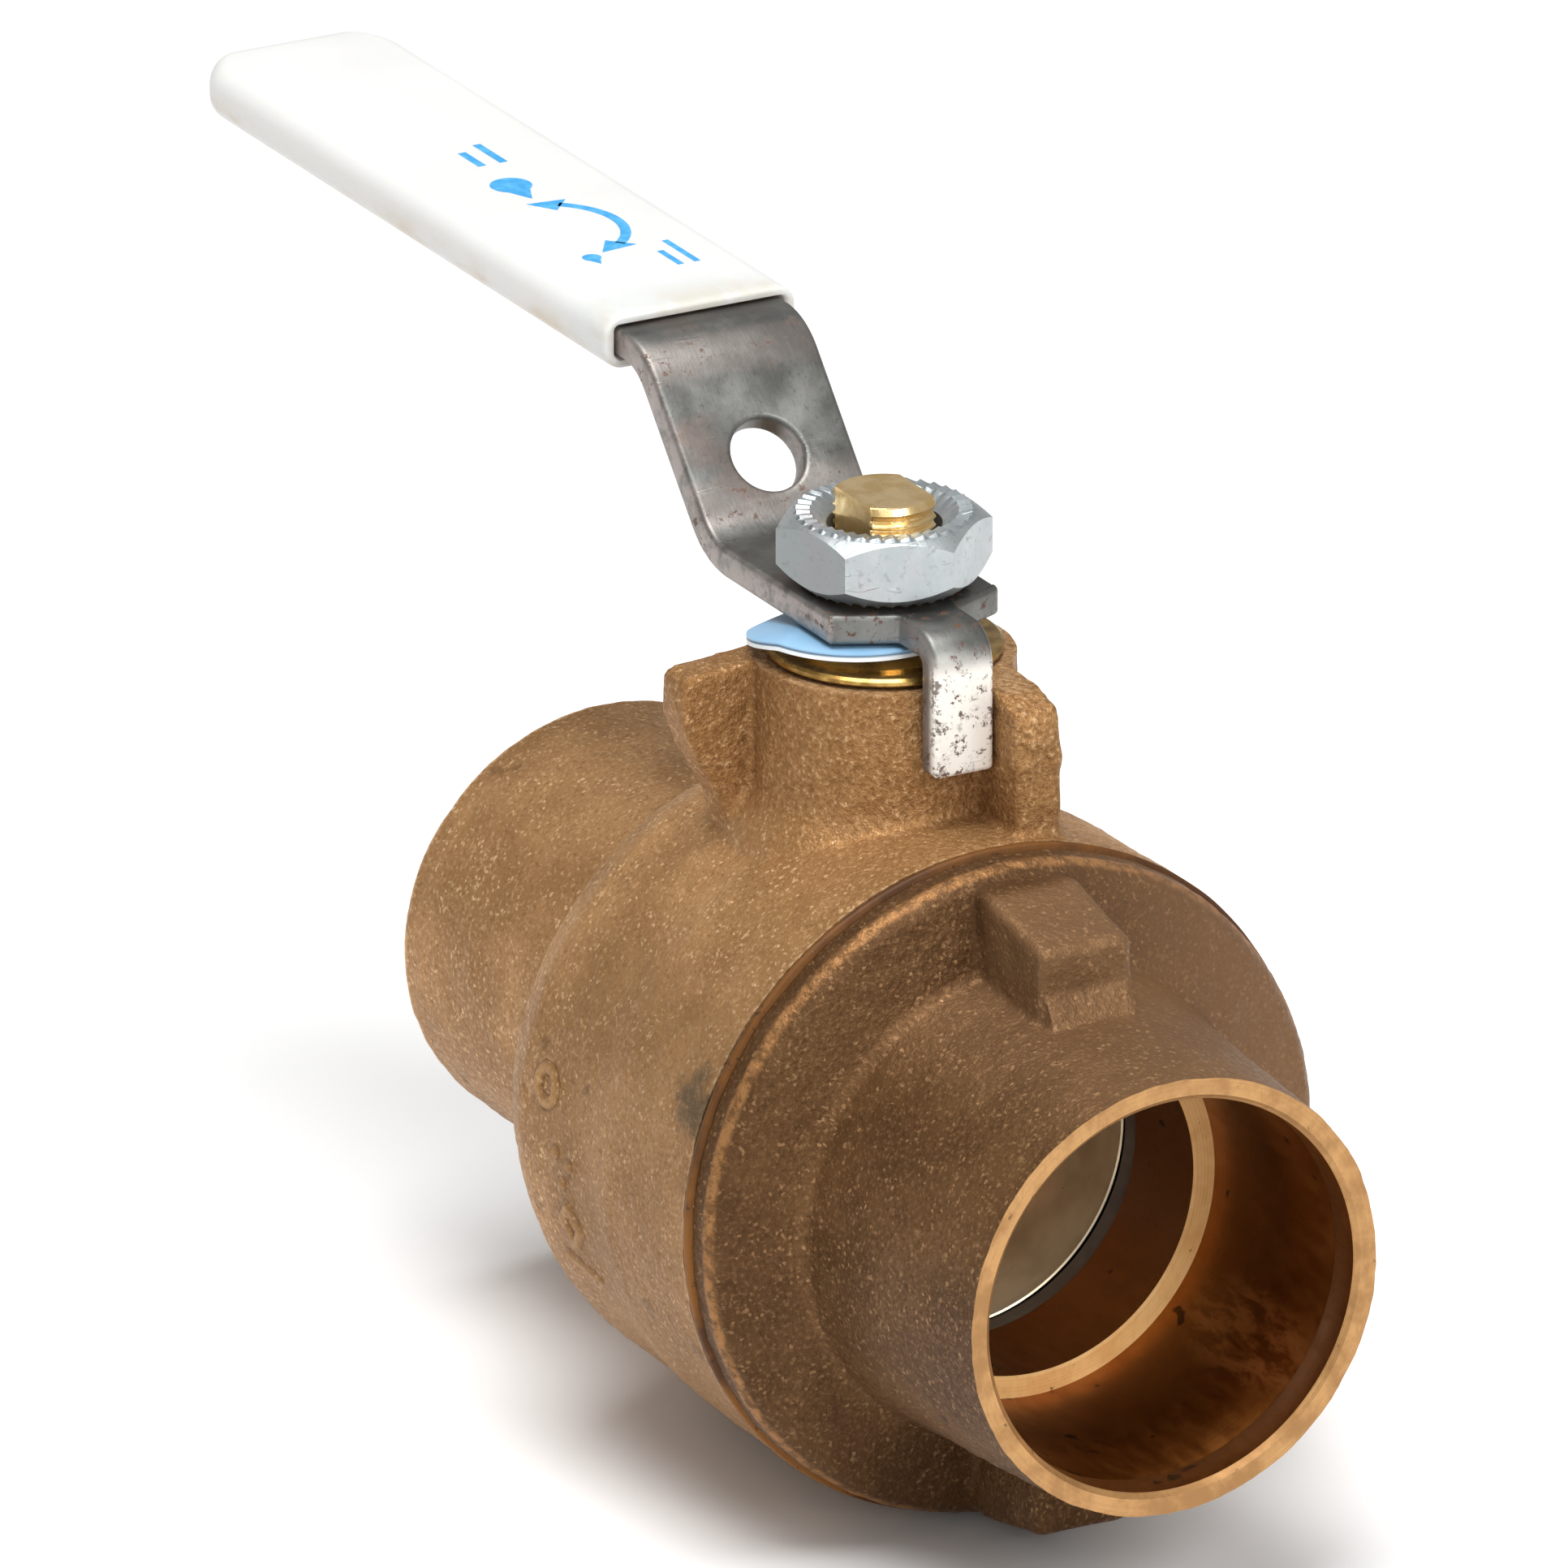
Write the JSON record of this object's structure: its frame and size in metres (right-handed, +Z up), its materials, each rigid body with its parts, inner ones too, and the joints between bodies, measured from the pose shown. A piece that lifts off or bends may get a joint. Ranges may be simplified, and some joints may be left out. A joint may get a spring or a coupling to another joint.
{
  "type": "two-piece lever ball valve with solder cups",
  "caption": "Inline two-piece bronze ball valve with solder cup ends, a stem boss with stops, and a cranked steel lever with a vinyl grip.",
  "frame": {"origin": "where the pipe axis meets the stem axis, at the ball's centre", "axes": "+X along the pipe axis towards the end retainer, +Z up along the stem, and the open lever points to -X"},
  "size_m": [0.1893, 0.0718, 0.1095],
  "materials": {
    "cast_bronze": "sand-cast, fine grain, satin",
    "dark_bronze": "sand-cast, brown patina, satin, machined bright on the rim and stop",
    "amber_seal": "satin",
    "seat_polymer": "satin",
    "chrome_ball": "polished",
    "brass": "machined, polished",
    "tag_film": "satin",
    "lever_steel": "zinc plated, worn, satin",
    "nut_zinc": "bright zinc",
    "white_vinyl": "dipped vinyl, satin"
  },
  "bodies": {
    "valve_body": {"body_casting": "cast_bronze", "end_retainer": "dark_bronze", "body_seal_ring": "amber_seal", "seat_ring_retainer": "seat_polymer", "seat_ring_body": "seat_polymer", "stem_bearing": "seat_polymer", "packing_ring_1": "seat_polymer", "packing_ring_2": "seat_polymer", "packing_ring_3": "seat_polymer", "packing_gland": "brass"},
    "lever_set": {"stem": "brass", "tag_disc_lower": "tag_film", "tag_disc_upper": "tag_film", "lever": "lever_steel", "grip": "white_vinyl", "lever_nut": "nut_zinc"},
    "ball_set": {"ball": "chrome_ball"}
  },
  "joints": [
    {"name": "lever_turn", "type": "hinge", "parent": "valve_body", "child": "lever_set", "pos_m": [0, 0, 0.03], "axis": [0, 0, 1], "range_deg": [-90, 0]},
    {"name": "ball_turn", "type": "hinge", "parent": "valve_body", "child": "ball_set", "pos_m": [0, 0, 0], "axis": [0, 0, 1], "range_deg": [-90, 0]}
  ],
  "couplings": [
    {"joint": "ball_turn", "follows": "lever_turn", "ratio": 1}
  ]
}
